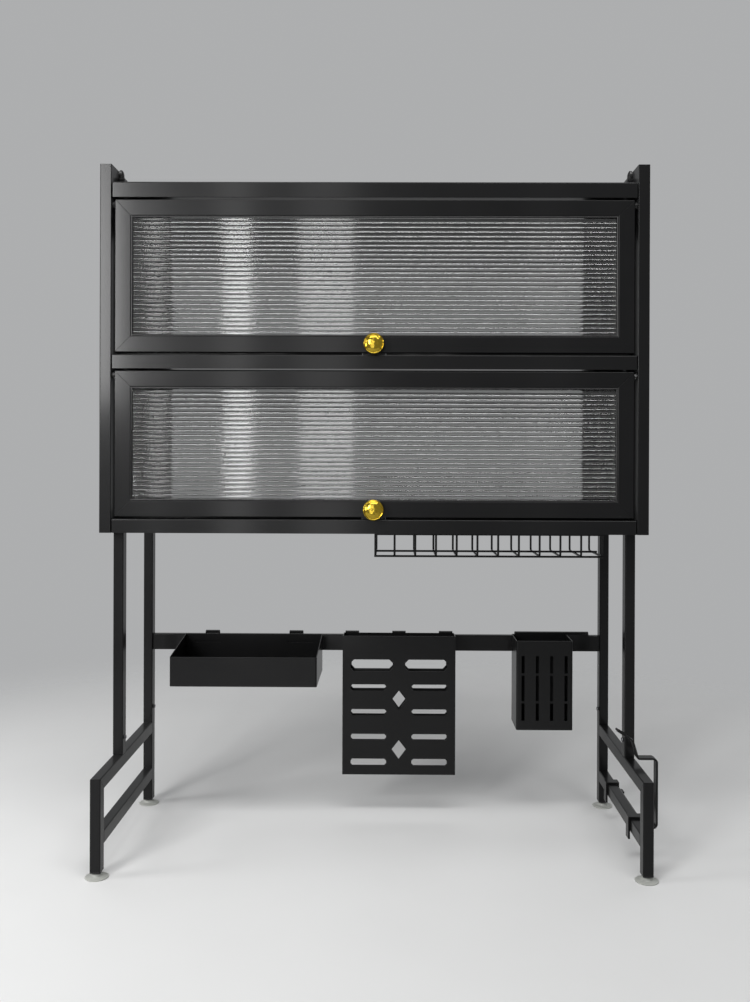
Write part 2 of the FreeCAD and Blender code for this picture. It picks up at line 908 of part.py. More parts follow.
# Two slits high in the tray's back and a row of drain slots in its floor
def tray_cuts():
    reach = 2 * tray_sheet
    top = tray_back_top - tray_slit_drop + tray_slit_high
    cutters = []
    for x0 in (tray_left + tray_slit_inset, tray_right - tray_slit_inset - tray_slit_long):
        cutters.append(block(
            x0, x0 + tray_slit_long, accessory_back - reach, accessory_back + 1, top - tray_slit_high, top,
        ))
    first = tray_left + drain_inset + drain_wide
    step = (tray_wide - 2 * (drain_inset + drain_wide)) / (tray_drains - 1)
    for k in range(tray_drains):
        x = first + k * step
        cutters.append(block(
            x - drain_wide / 2, x + drain_wide / 2, tray_front + drain_inset, accessory_back - drain_inset,
            tray_bottom - 1, tray_bottom + reach,
        ))
    return Part.makeCompound(cutters)


# Board holder: an open pocket with an upright front, a narrow foot and a back that leans
# forward below the rail. Both plates are pierced alike, the back a little lower.
def obround(x0, x1, z0, z1, y0, y1):
    corner = min(x1 - x0, z1 - z0) / 2 - 0.01
    body = block(x0, x1, y0, y1, z0, z1)
    return bevelled(body, V(0, 1, 0), corner * 0.58)


def holder_cuts(y0, y1, shift):
    rows = [(holder_grip_drop, holder_grip_high, holder_grip_long)]
    for k in range(4):
        rows.append((holder_row_drop + k * holder_row_pitch, holder_row_high, holder_row_long))
    cutters = []
    for drop, high, long in rows:
        z0 = holder_top - drop - high / 2 - shift
        near, far = holder_left + holder_margin, holder_right - holder_margin
        cutters.append(obround(near, near + long, z0, z0 + high, y0, y1))
        cutters.append(obround(far - long, far, z0, z0 + high, y0, y1))
    for k in (0.5, 2.5):
        z = holder_top - holder_row_drop - k * holder_row_pitch - shift
        points = [
            V(holder_middle - diamond_half_wide, y0, z), V(holder_middle, y0, z - diamond_half_high),
            V(holder_middle + diamond_half_wide, y0, z), V(holder_middle, y0, z + diamond_half_high),
        ]
        cutters.append(prism(points, V(0, y1 - y0, 0)))
    return Part.makeCompound(cutters)


def board_holder():
    t = tray_sheet
    back = accessory_back
    foot = holder_front + holder_foot
    lean = (back - foot) / (holder_back_bend - holder_bottom)
    skew = t * math.hypot(1, lean)
    outer = prism(
        [
            V(holder_left, holder_front, holder_top), V(holder_left, holder_front, holder_bottom),
            V(holder_left, foot, holder_bottom), V(holder_left, back, holder_back_bend),
            V(holder_left, back, holder_back_top),
        ],
        V(holder_wide, 0, 0),
    )
    slope = (holder_top - holder_back_top) / (back - holder_front)
    x = holder_left + t
    hollow = prism(
        [
            V(x, holder_front + t, holder_top + 1), V(x, holder_front + t, holder_bottom + t),
            V(x, foot + t * lean - skew, holder_bottom + t),
            V(x, back - t, holder_back_bend + (skew - t) / lean),
            V(x, back - t, holder_back_top + slope * t + 1),
        ],
        V(holder_wide - 2 * t, 0, 0),
    )
    body = outer.cut(hollow)
    gap = holder_front + holder_foot / 2
    body = body.cut(holder_cuts(holder_front - 1, gap, 0))
    body = body.cut(holder_cuts(gap, back + 1, holder_back_shift))
    ends = holder_hook_inset + hook_wide / 2
    hooks = []
    for x in (holder_left + ends, holder_middle, holder_right - ends):
        hooks.append(rail_hook(x - hook_wide / 2, x + hook_wide / 2, holder_back_bend + 2 * t))
    return joined([body] + hooks)


# Cutlery cage: slotted box with a long hook plate that runs on past its right side
def cage_cuts():
    cutters = []
    step = (cage_wide - 2 * cage_slot_margin) / (cage_slots_across - 1)
    half = cage_slot_wide / 2
    for k in range(cage_slots_across):
        x = cage_left + cage_slot_margin + k * step
        for drop, high in zip(cage_slot_tops, cage_slot_highs):
            z = cage_top - drop - high
            cutters.append(block(x - half, x + half, cage_front - 1, cage_front + 6, z, z + high))
        cutters.append(block(
            x - half, x + half, cage_front + drain_inset / 2, accessory_back - drain_inset / 2,
            cage_bottom - 1, cage_bottom + 4,
        ))
    return Part.makeCompound(cutters)


def cutlery_cage():
    t = tray_sheet
    back = accessory_back
    outer = block(cage_left, cage_right, cage_front, back, cage_bottom, cage_top)
    edges = [e for e in lengthwise_edges(outer, V(0, 0, 1)) if e.CenterOfMass.y < cage_front + 1]
    outer = outer.makeFillet(corner_round, edges)
    hollow = block(cage_left + t, cage_right - t, cage_front + t, back - t, cage_bottom + t, cage_top + 1)
    body = outer.cut(hollow).cut(cage_cuts())
    hook = rail_hook(cage_left + hook_wide / 4, cage_plate_right, cage_top - cage_hook_drop)
    return joined([body, hook])


# Glass rack: bent wires welded to long wires, with four tabs screwed under the bottom shelf.
# Each wire is a solid of its own and lies against the ones that it is welded to.
def glass_rack():
    r = wire / 2
    top = cabinet_bottom - tab_thick - r
    low = top - glass_drop
    front = glass_front
    back = glass_front + glass_depth
    step = (glass_right - glass_left) / (glass_bars - 1)
    wires = []
    for k in range(glass_bars):
        x = glass_left + k * step
        points = [V(x, front, top - r), V(x, front, low), V(x, back, low), V(x, back, top - r)]
        wires.append(bent_bar(points, r))
    for y, z in ((front, top), (back, top), (front + r, low - wire), (front + glass_second, low - wire)):
        wires.append(bar(V(glass_left - r, y, z), V(glass_right + r, y, z), r))
    for x in (glass_left, glass_right):
        wires.append(bar(V(x, front + r, top), V(x, back - r, top), r))
    for x, y in glass_tab_places():
        wire_y = front if y < stiffener_front else back
        near, far = min(y - tab_margin, wire_y), max(y + tab_margin, wire_y)
        tab = block(x - tab_margin, x + tab_margin, near, far, cabinet_bottom - tab_thick, cabinet_bottom)
        wires.append(tab.cut(drill(V(x, y, cabinet_bottom), V(0, 0, 1), screw_radius + hole_play, 9)))
    return Part.makeCompound(wires)


def glass_tab_places():
    front_y = glass_front + wire / 2 + head_across / 2 + 0.5
    rear_y = stiffener_front + stiffener_wide / 2
    step = (glass_right - glass_left) / (glass_bars - 1)
    xs = (glass_left + step * 1.5, glass_right - step * 1.5)
    return [(x, y) for x in xs for y in (front_y, rear_y)]


def glass_screws():
    screws = []
    for x, y in glass_tab_places():
        seat = V(x, y, cabinet_bottom - tab_thick)
        screws.append(screw(seat, V(0, 0, 1), tab_thick + shelf_sheet + 5))
    return Part.makeCompound(screws)


def glass_screw_holes(shape):
    cutters = []
    for x, y in glass_tab_places():
        cutters.append(drill(V(x, y, cabinet_bottom), V(0, 0, 1), screw_radius + thread_play, 6 * shelf_sheet))
    return shape.cut(Part.makeCompound(cutters))


# Side rack: two strips hook over the lower bar and a rod beside the bar joins them.
# The front one runs out, up and back again in front of the post; the rear one is short.
def side_rack():
    x_in = post_inner - hook_play
    x_out = post_outer + hook_play
    over = lower_bar_top + hook_play
    hook = [(x_in, rack_leg_bottom), (x_in, over), (x_out, over), (x_out, rack_floor)]
    loop = [
        (rack_wall_x, rack_floor), (rack_wall_x, rack_top), (post_outer - 3.0, rack_top),
        (post_outer - 11.0, rack_top + 27.0), (post_inner - 6.0, rack_top + 35.0),
        (post_inner - 19.0, rack_top + 43.0),
    ]
    bends = [None, None, None, rack_bend, rack_bend, rack_arm_bend, rack_arm_bend, None]
    front = rack_strip(hook + loop, bends, rack_front)
    rear = rack_strip(hook + [(x_out + rack_foot, rack_floor)], [None, None, None], rack_rear)
    x = x_out + strip + rack_rod / 2 + hook_play
    z = rack_floor + strip + rack_rod / 2 - weld_sink
    ends = strip_wide / 4
    rod = bar(V(x, rack_front + ends, z), V(x, rack_rear + strip_wide - ends, z), rack_rod / 2)
    return joined([front, rear, rod])


def rack_strip(skin, bends, y):
    points = [V(x, y + strip_wide, z) for x, z in skin]
    return folded(points, strip, bends, V(0, -1, 0), strip_wide)


# Names and shapes of every piece
def base_pieces():
    pieces = {}
    for name, shape in (
        ("base_front_leg", front_leg()), ("base_rear_leg", rear_leg()),
        ("base_top_bar", top_bar()), ("base_lower_bar", lower_bar()),
    ):
        pieces[name + "_left"] = shape
        pieces[name + "_right"] = mirrored(shape)
    pads, studs, plugs = [], [], []
    for centre in leg_centres():
        pads.append(moved(foot_pad(), centre.x, centre.y, 0))
        studs.append(moved(foot_stud(), centre.x, centre.y, 0))
        plugs.append(moved(end_plug(plug_flange), centre.x, centre.y, leg_lift - plug_flange))
    pieces["foot_pads"] = Part.makeCompound(pads)
    pieces["foot_studs"] = Part.makeCompound(studs)
    pieces["leg_plugs"] = Part.makeCompound(plugs)
    return pieces


def post_pieces():
    pieces = {}
    heights = [base_height + joint_screw_rise]
    for top in (roof_top, middle_shelf_top, bottom_shelf_top):
        heights.append(top - shelf_screw_drop)
    names = ("front_post_left", "front_post_right", "rear_post_left", "rear_post_right")
    spigots, caps, screws = [], [], []
    for name, centre in zip(names, post_centres()):
        side = -1 if centre.x < 0 else 1
        shape = post(centre, heights)
        if "rear" in name:
            shape = rear_post_panel_holes(shape, side)
        pieces[name] = shape
        spigots.append(spigot(centre))
        caps.append(moved(post_cap(), centre.x, centre.y, post_top))
        seat = V(side * post_inner, centre.y, base_height + joint_screw_rise)
        screws.append(screw(seat, V(side, 0, 0), 9.0))
    pieces["post_spigots"] = Part.makeCompound(spigots)
    pieces["post_caps"] = Part.makeCompound(caps)
    pieces["post_screws"] = Part.makeCompound(screws)
    return pieces


def cabinet_pieces():
    right = side_panel()
    return {
        "side_panel_right": right,
        "side_panel_left": mirrored(right),
        "roof_panel": roof(),
        "middle_shelf": shelf(middle_shelf_top),
        "bottom_shelf": glass_screw_holes(shelf(bottom_shelf_top)),
        "shelf_screws": shelf_screws(),
        "side_panel_screws": panel_screws(),
        "hinge_bushes": hinge_bushes(),
        "upper_magnet_catch": magnet_catch(middle_shelf_top),
        "lower_magnet_catch": magnet_catch(bottom_shelf_top),
        "accessory_rail": accessory_rail(),
        "glass_rack": glass_rack(),
        "glass_rack_screws": glass_screws(),
    }


def door_pieces(prefix, bottom, high):
    low, top = door_rails(high)
    left, right = door_stiles(high)
    pieces = {
        "bottom_rail": knob_cut(low),
        "top_rail": top,
        "left_stile": pivot_cut(left, high),
        "right_stile": pivot_cut(right, high),
        "corner_keys": corner_keys(high),
        "fluted_panel": fluted_panel(high),
        "hinge_pins": hinge_pins(high),
        "knob": knob(),
        "knob_screw": knob_screw(),
        "strike_plate": strike_plate(),
    }
    return {prefix + "_door_" + name: moved(shape, 0, 0, bottom) for name, shape in pieces.items()}


def accessory_pieces():
    return {
        "utensil_tray": utensil_tray(),
        "board_holder": board_holder(),
        "cutlery_cage": cutlery_cage(),
        "side_rack": side_rack(),
    }


def all_pieces():
    pieces = base_pieces()
    pieces.update(post_pieces())
    pieces.update(cabinet_pieces())
    pieces.update(door_pieces("upper", upper_door_bottom, upper_door_high))
    pieces.update(door_pieces("lower", lower_door_bottom, lower_door_high))
    pieces.update(accessory_pieces())
    return pieces


def main():
    os.makedirs("parts", exist_ok=True)
    for name, shape in all_pieces().items():
        placed = moved(shape, -origin_x, 0, 0)
        if not placed.isValid():
            print("not valid:", name)
        placed.exportStep("parts/" + name + ".step")
        print(name, len(placed.Solids), round(placed.Volume))


main()
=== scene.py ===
# %% [markdown]
# # A dish drainer cabinet, dressed for a picture
#
# The construction model gives every sheet, tube and door of this cabinet in its real
# place. It stays as the frame, and this lesson gives it what a construction model leaves
# out: rounded edges, turned and moulded small parts, and finishes that answer to light.
# All lengths are in metres. The user stands on the -Y side, and Z = 0 is the worktop.

# %% Load the frame
import json
import math

import bpy
from mathutils import Matrix, Vector

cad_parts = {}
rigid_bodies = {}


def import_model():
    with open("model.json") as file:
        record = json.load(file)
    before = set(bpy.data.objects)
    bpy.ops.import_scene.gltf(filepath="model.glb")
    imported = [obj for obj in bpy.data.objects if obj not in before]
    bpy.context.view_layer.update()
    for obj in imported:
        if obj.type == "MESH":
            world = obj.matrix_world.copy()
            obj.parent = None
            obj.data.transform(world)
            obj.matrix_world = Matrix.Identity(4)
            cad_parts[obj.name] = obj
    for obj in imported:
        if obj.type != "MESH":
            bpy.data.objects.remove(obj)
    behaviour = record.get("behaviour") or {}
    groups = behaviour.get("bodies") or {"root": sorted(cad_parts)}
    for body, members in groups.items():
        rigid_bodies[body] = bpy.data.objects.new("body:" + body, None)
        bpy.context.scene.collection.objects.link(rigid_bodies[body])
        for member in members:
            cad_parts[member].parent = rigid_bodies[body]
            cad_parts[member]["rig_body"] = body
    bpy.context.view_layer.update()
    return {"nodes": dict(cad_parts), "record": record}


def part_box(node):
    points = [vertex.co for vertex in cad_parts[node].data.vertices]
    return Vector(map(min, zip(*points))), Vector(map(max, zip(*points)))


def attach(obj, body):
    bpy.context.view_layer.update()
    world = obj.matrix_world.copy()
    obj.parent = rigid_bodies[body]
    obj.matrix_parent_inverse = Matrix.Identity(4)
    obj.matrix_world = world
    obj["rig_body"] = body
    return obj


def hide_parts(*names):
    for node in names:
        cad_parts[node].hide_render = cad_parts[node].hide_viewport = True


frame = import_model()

mm = 0.001

# %% [markdown]
# ## Working by hand, without a hand
#
# An operator works on whatever is selected, and the loaded frame arrives selected. So
# each piece starts by selecting nothing, and corners are then picked in code by where
# they are. A finished piece sits at the origin with its place in its mesh, as the
# frame's own nodes do.

# %% Selecting
def deselect():
    if bpy.context.mode != "OBJECT":
        bpy.ops.object.mode_set(mode="OBJECT")
    bpy.ops.object.select_all(action="DESELECT")


def only(piece):
    deselect()
    piece.select_set(True)
    bpy.context.view_layer.objects.active = piece
    return piece


def editing(piece):
    """Opens one piece for editing, all of it selected."""
    only(piece)
    bpy.ops.object.mode_set(mode="EDIT")
    bpy.ops.mesh.select_all(action="SELECT")


def pick(piece, test):
    """Selects the corners of the edited piece whose place passes a test."""
    bpy.ops.object.mode_set(mode="EDIT")
    bpy.ops.mesh.select_mode(type="VERT")
    bpy.ops.mesh.select_all(action="DESELECT")
    bpy.ops.object.mode_set(mode="OBJECT")
    for corner in piece.data.vertices:
        corner.select = test(corner.co)
    bpy.ops.object.mode_set(mode="EDIT")


# %% Shaping and finishing
merge_reach = 2e-6


def modify(piece, kind, **settings):
    """Adds a modifier and applies it, so that the mesh holds the shape."""
    only(piece)
    modifier = piece.modifiers.new(kind.lower(), kind)
    for name, value in settings.items():
        setattr(modifier, name, value)
    bpy.ops.object.modifier_apply(modifier=modifier.name)
    return piece


def merged(piece):
    """Merges the doubled corners of a piece and leaves it open, all selected."""
    editing(piece)
    bpy.ops.mesh.remove_doubles(threshold=merge_reach)


def smoothed(piece, angle):
    """Smooths every edge that turns by less than an angle in degrees."""
    only(piece)
    bpy.ops.object.shade_smooth_by_angle(angle=math.radians(angle))
    return piece


def tidy(piece, angle):
    """Merges doubled corners, points all faces outwards and smooths the gentle edges."""
    merged(piece)
    bpy.ops.mesh.normals_make_consistent(inside=False)
    return smoothed(piece, angle)


def written(piece):
    """Writes the place, turn and size of the piece just made into its mesh."""
    bpy.ops.object.transform_apply(location=True, rotation=True, scale=True)
    return piece


def seated(piece, place=(0, 0, 0), turn=(0, 0, 0)):
    """Moves and turns a piece, and writes its place into its mesh."""
    only(piece)
    piece.location = place
    piece.rotation_euler = [math.radians(a) for a in turn]
    return written(piece)


def copied(piece, name, place=(0, 0, 0), turn=Matrix.Identity(4)):
    """A copy with its own mesh, turned and moved in its mesh."""
    copy = bpy.data.objects.new(name, piece.data.copy())
    bpy.context.scene.collection.objects.link(copy)
    copy.data.transform(Matrix.Translation(place) @ turn)
    return copy


def joined(pieces, name):
    deselect()
    for piece in pieces:
        piece.select_set(True)
    bpy.context.view_layer.objects.active = pieces[0]
    bpy.ops.object.join()
    pieces[0].name = name
    return pieces[0]


# %% [markdown]
# ## Writing shader maths as sums
#
# A pattern in a finish is a sum or a product of a few textures. Wiring Math nodes by
# hand hides that sum. A small wrapper round a socket lets Python's own signs add the
# nodes, so that `1 - mask` reads as it is meant.

# %% Sockets that add up
class Wire:
    def __init__(self, pattern, socket):
        self.pattern, self.socket = pattern, socket

    def maths(self, operation, *values):
        inputs = dict(enumerate(values))
        return self.pattern.node("ShaderNodeMath", {"operation": operation}, inputs)["Value"]

    def __add__(self, other):
        return self.maths("ADD", self, other)

    def __sub__(self, other):
        return self.maths("SUBTRACT", self, other)

    def __rsub__(self, other):
        return self.maths("SUBTRACT", other, self)

    def __mul__(self, other):
        return self.maths("MULTIPLY", self, other)

    __radd__, __rmul__ = __add__, __mul__

    def larger(self, other):
        return self.maths("MAXIMUM", self, other)


# %% One method for every node
class Pattern:
    """A node tree in which every node is made by one method."""

    def __init__(self, tree):
        self.tree = tree

    def node(self, kind, settings, inputs):
        """Makes a node, and returns its outputs by name and by number."""
        made = self.tree.nodes.new(kind)
        for name, value in settings.items():
            setattr(made, name, value)
        for socket, value in inputs.items():
            self.feed(made.inputs[socket], value)
        wires = {out.name: Wire(self, out) for out in made.outputs}
        wires.update({place: Wire(self, out) for place, out in enumerate(made.outputs)})
        return wires

    def feed(self, socket, value):
        if isinstance(value, Wire):
            self.tree.links.new(value.socket, socket)
        else:
            socket.default_value = value

    def graded(self, factor, low, high):
        """A colour that runs from low to high with a factor."""
        inputs = {0: factor, 6: (*low, 1), 7: (*high, 1)}
        return self.node("ShaderNodeMix", {"data_type": "RGBA"}, inputs)[2]


# %% One material
class Finish(Pattern):
    """A shader whose even values are set here, and whose pattern is wired in."""

    def __init__(self, name, **constants):
        self.material = bpy.data.materials.new(name)
        self.material.use_nodes = True
        super().__init__(self.material.node_tree)
        self.shader = self.tree.nodes["Principled BSDF"]
        for socket, value in constants.items():
            self.shader.inputs[socket.replace("_", " ")].default_value = value
        self.place = self.node("ShaderNodeTexCoord", {}, {})["Object"]

    def noise(self, scale, detail=2.0, stretch=(1, 1, 1)):
        """A noise texture that varies from 0 to 1, scale per metre."""
        spread = self.node("ShaderNodeMapping", {}, {"Vector": self.place, "Scale": stretch})
        inputs = {"Vector": spread["Vector"], "Scale": scale, "Detail": detail}
        return self.node("ShaderNodeTexNoise", {}, inputs)["Fac"]

    def coloured(self, factor, low, high):
        return self.wire("Base Color", self.graded(factor, low, high))

    def rough(self, value):
        return self.wire("Roughness", value)

    def bump(self, height, distance, strength):
        inputs = {"Height": height, "Distance": distance, "Strength": strength}
        return self.wire("Normal", self.node("ShaderNodeBump", {}, inputs)["Normal"])

    def wire(self, socket, value):
        self.feed(self.shader.inputs[socket], value)
        return self


# %% [markdown]
# ## Camera
#
# The picture was taken standing in front of the cabinet, level with its lower door. The
# place, the small tilt and the off-centre crop were found by laying corners of the model
# on the same corners in the picture. A small shift of the lens does the crop.

# %% Camera
picture_wide, picture_high = 750, 1002
focal_px, centre_px = 1000.0, (386.0, 455.85)
sensor_wide = 36.0
eye = Vector((23.48, -1632.22, 627.46)) * mm
yaw, pitch, roll = 0.45, 0.10, 0.21

deselect()
bpy.ops.object.camera_add(location=eye)
camera = bpy.context.object
camera.name = "photo_camera"
turn = Matrix.Rotation(math.radians(yaw), 3, "Z")
turn = turn @ Matrix.Rotation(math.radians(90 - pitch), 3, "X")
turn = turn @ Matrix.Rotation(math.radians(roll), 3, "Z")
camera.rotation_euler = turn.to_euler()
lens = camera.data
lens.sensor_fit = "HORIZONTAL"
lens.sensor_width = sensor_wide
lens.lens = sensor_wide * focal_px / picture_wide
lens.shift_x = (picture_wide / 2 - centre_px[0]) / picture_wide
lens.shift_y = (centre_px[1] - picture_high / 2) / picture_wide
bpy.context.scene.camera = camera
print("lens", round(lens.lens, 2), "shift", round(lens.shift_x, 4), round(lens.shift_y, 4))

# %% [markdown]
# ## Floor and backdrop
#
# A pale worktop and an even pale backdrop keep the black outline clear. A wall or a
# curved sheet behind the object would stand in the way of the views from the back, so
# the floor is a flat disc that fades out towards its rim, and the world round it gives
# the backdrop. The world lights the object only dimly: what the camera, the gloss and
# the glass see of it is paler than the light that it gives.

# %% Floor
floor_radius, fade_from, fade_to = 1.8, 0.8, 1.75


def pale_worktop():
    finish = Finish("pale_worktop", Roughness=0.55)
    finish.coloured(finish.noise(6.0), (0.74, 0.74, 0.735), (0.71, 0.71, 0.705))
    away = finish.node("ShaderNodeVectorMath", {"operation": "LENGTH"}, {0: finish.place})
    fade = finish.node("ShaderNodeMapRange", {"interpolation_type": "SMOOTHSTEP"}, {
        "Value": away["Value"], "From Min": fade_from, "From Max": fade_to,
    })["Result"]
    clear = finish.node("ShaderNodeBsdfTransparent", {}, {})["BSDF"]
    solid = Wire(finish, finish.shader.outputs[0])
    mixed = finish.node("ShaderNodeMixShader", {}, {0: 1 - fade, 1: clear, 2: solid})["Shader"]
    finish.feed(finish.tree.nodes["Material Output"].inputs["Surface"], mixed)
    return finish.material


deselect()
bpy.ops.mesh.primitive_circle_add(vertices=96, radius=floor_radius, fill_type="NGON")
worktop = bpy.context.object
worktop.name = "stage_worktop"
worktop.data.materials.append(pale_worktop())
print("floor:", floor_radius, "m, faded out at", fade_to, "m")

# %% Backdrop
def studio_world(ambient, backdrop):
    """A dim light for the object, and a pale backdrop for camera, gloss and glass."""
    world = bpy.data.worlds.new("studio")
    world.use_nodes = True
    sky = Pattern(world.node_tree)
    path = sky.node("ShaderNodeLightPath", {}, {})
    seen = path["Is Camera Ray"].larger(path["Is Glossy Ray"])
    seen = seen.larger(path["Is Transmission Ray"])
    colour = sky.graded(seen, ambient, backdrop)
    sky.feed(sky.tree.nodes["Background"].inputs["Color"], colour)
    bpy.context.scene.world = world
    print("backdrop:", backdrop)


studio_world(ambient=(0.12, 0.125, 0.13), backdrop=(0.42, 0.425, 0.43))
bpy.context.scene.view_settings.view_transform = "Standard"

# %% [markdown]
# ## Lights
#
# Black powder coat shows little but what it reflects, so each soft panel stands where
# its mirror image falls on the cabinet as it does in the picture. A panel at the front
# left brightens the left stiles and the left side panel, narrow strips in front draw
# the upright streaks on the fluted windows, and a wide ceiling light gives every rib
# its thin bright line. The front left panel has a grid, which is what its narrower
# spread means, so that it doesn't flood the floor. A soft light from above and one from
# the left fill the rest, and three dim panels light the back.

# %% Lights
front_y = -2.2


def softbox(name, place, aim, size, watts, spread=180):
    deselect()
    bpy.ops.object.light_add(type="AREA", location=place)
    lamp = bpy.context.object
    lamp.name = name
    lamp.data.shape = "RECTANGLE"
    lamp.data.size, lamp.data.size_y = size
    lamp.data.energy, lamp.data.spread = watts, math.radians(spread)
    towards = Vector(aim) - Vector(place)
    lamp.rotation_euler = towards.to_track_quat("-Z", "Y").to_euler()


softbox("key_overhead", (0.2, -0.7, 2.9), aim=(0.1, 0, 0), size=(2.0, 1.4), watts=16)
softbox("ceiling_tube", (0, -1.2, 2.5), aim=(0, 0, 0.7), size=(2.4, 0.6), watts=30)
softbox(
    "window_left", (-1.36, front_y, 1.3), aim=(-1.14, 0, 1.15), size=(0.72, 0.96),
    watts=28, spread=120,
)
softbox("window_side", (-2.3, -0.6, 1.1), aim=(0, -0.1, 0.8), size=(0.6, 1.2), watts=16)
for name, x, wide, watts in (
    ("strip_edge", -0.86, 0.06, 1.3), ("strip_left", -0.56, 0.10, 4.6),
    ("strip_middle", -0.23, 0.20, 4.6), ("strip_right", 0.59, 0.14, 0.3),
):
    softbox(name, (x, front_y, 1.0), aim=(x, 0, 0.9), size=(wide, 2.2), watts=watts)
softbox("back_overhead", (0, 2.0, 3.0), aim=(0, 0.1, 0.8), size=(2.0, 1.0), watts=7)
for name, side in (("back_right", 1), ("back_left", -1)):
    softbox(name, (2.2 * side, 1.6, 1.8), aim=(0.2 * side, 0, 0.8), size=(1.2, 1.2), watts=7)
print("lamps:", len(bpy.data.lights))

# %% [markdown]
# ## Black finishes
#
# The steel is powder coated: black, with a fine orange peel and a satin skin. A plain
# shader with that much sheen would look grey all over in a pale room. So the sheen of
# the base is kept low, and a thin coat layer gives the crisp highlights. The door
# frames are extruded aluminium with the same coat, drawn lengthwise.

# %% Coated steel and aluminium
satin_skin = {"Specular_IOR_Level": 0.07, "Coat_Weight": 0.22, "Coat_Roughness": 0.14}


def powder_coat():
    finish = Finish("powder_coat_black", **satin_skin)
    peel = finish.noise(900.0, detail=3.0)
    cloud = finish.noise(9.0, detail=4.0)
    finish.coloured(cloud, (0.004, 0.004, 0.0042), (0.007, 0.007, 0.0072))
    finish.rough(0.24 + 0.10 * cloud + 0.06 * peel)
    return finish.bump(peel, distance=0.06 * mm, strength=0.35).material


def coated_aluminium():
    finish = Finish("coated_aluminium_black", **satin_skin)
    drawn = finish.noise(700.0, stretch=(0.02, 1, 1))
    cloud = finish.noise(14.0, detail=3.0)
    finish.coloured(cloud, (0.004, 0.004, 0.0042), (0.0065, 0.0065, 0.0067))
    finish.rough(0.25 + 0.08 * cloud + 0.03 * drawn)
    return finish.bump(drawn, distance=0.03 * mm, strength=0.12).material


finish_of = {"black_paint": powder_coat(), "black_aluminium": coated_aluminium()}
print("black finishes:", sorted(finish_of))

# %% [markdown]
# ## The other finishes
#
# The windows are clear and glossy, and their grey tint is painted shade: it darkens
# what is seen through them, standing in for the shade inside the cabinet. The knobs are
# bright brass with a lightly beaten skin. Catches, plugs, caps and window beads are moulded
# black plastic, the feet are soft clear pads, and screws and studs are plated steel. Each
# has a cloud or a grain that its colour and gloss follow, so that no surface is dead even.

# %% Window, brass, plastic, rubber and plated steel
def clear_panel():
    finish = Finish(
        "clear_fluted_panel_painted_shade", Transmission_Weight=1.0, IOR=1.58,
        Coat_Weight=0.3, Coat_Roughness=0.04, Coat_IOR=1.6,
    )
    cloud = finish.noise(5.0, detail=3.0)
    # The grey tint is painted shade: it darkens all that is seen through the window.
    finish.coloured(cloud, (0.31, 0.315, 0.31), (0.37, 0.375, 0.37))
    return finish.rough(0.035 + 0.03 * cloud).material


def beaten_brass():
    finish = Finish("turned_brass", Metallic=1.0)
    cloud, beaten = finish.noise(260.0, detail=3.0), finish.noise(210.0, detail=0.0)
    finish.coloured(cloud, (0.30, 0.20, 0.015), (0.48, 0.35, 0.045))
    finish.rough(0.08 + 0.14 * cloud)
    return finish.bump(beaten, distance=1.2 * mm, strength=0.6).material


def moulded_plastic():
    finish = Finish("moulded_black_plastic", Specular_IOR_Level=0.35)
    grain = finish.noise(1400.0)
    finish.coloured(grain, (0.005, 0.005, 0.005), (0.009, 0.009, 0.009))
    finish.rough(0.20 + 0.12 * grain)
    return finish.bump(grain, distance=0.04 * mm, strength=0.4).material


def soft_rubber():
    finish = Finish("clear_soft_rubber", Transmission_Weight=0.55, IOR=1.42)
    cloud = finish.noise(160.0, detail=3.0)
    finish.coloured(cloud, (0.72, 0.74, 0.68), (0.86, 0.87, 0.82))
    finish.rough(0.30 + 0.20 * cloud)
    return finish.bump(cloud, distance=0.1 * mm, strength=0.3).material


def plated_steel():
    finish = Finish("dark_plated_steel", Metallic=1.0)
    cloud = finish.noise(420.0, detail=3.0)
    finish.coloured(cloud, (0.10, 0.10, 0.105), (0.20, 0.20, 0.21))
    finish.rough(0.28 + 0.22 * cloud)
    return finish.bump(cloud, distance=0.03 * mm, strength=0.3).material


finish_of.update({
    "clear_panel": clear_panel(), "brass": beaten_brass(), "zinc_steel": plated_steel(),
    "black_plastic": moulded_plastic(), "clear_rubber": soft_rubber(),
})
slot_of = {row["node"]: row["material_slot"] for row in frame["record"]["subparts"]}
for node, piece in frame["nodes"].items():
    piece.data.materials.clear()
    piece.data.materials.append(finish_of[slot_of[node]])
print("finishes:", sorted(finish_of))


# %% Dressing a piece
def dressed(piece, name, *nodes, slot=None, body=None):
    """Names a finished piece, paints it, sets it on its body and lets it stand for nodes."""
    piece.name = name
    slot = slot or slot_of[nodes[0]]
    piece.data.materials.clear()
    piece.data.materials.append(finish_of[slot])
    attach(piece, body or frame["nodes"][nodes[0]]["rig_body"])
    if nodes:
        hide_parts(*nodes)
    return piece


# %% [markdown]
# ## Eased edges
#
# No edge of a coated tube or a folded sheet is knife sharp: the bend and the coat round
# it by a few tenths of a millimetre, and that round is what catches the light. A copy
# of each node is merged and cleaned first, because the frame's meshes are loose
# triangles, and then a bevel rolls every hard edge over. Weighted normals keep the
# flats between the rolled edges flat to the eye. The moulded caps, plugs and catches
# and the small steel fittings of the doors are eased in the same way.

# %% Ease the tubes, sheets and small fittings
flat_angle, hard_angle, smooth_angle = 0.6, 24, 50


def eased(node, width):
    piece = only(copied(frame["nodes"][node], node + "_eased"))
    bpy.ops.mesh.customdata_custom_splitnormals_clear()
    merged(piece)
    bpy.ops.mesh.dissolve_limited(angle_limit=math.radians(flat_angle))
    modify(
        piece, "BEVEL", width=width, segments=2, limit_method="ANGLE",
        angle_limit=math.radians(hard_angle), use_clamp_overlap=True,
    )
    modify(smoothed(piece, smooth_angle), "WEIGHTED_NORMAL", keep_sharp=True)
    return dressed(piece, node + "_eased", node)


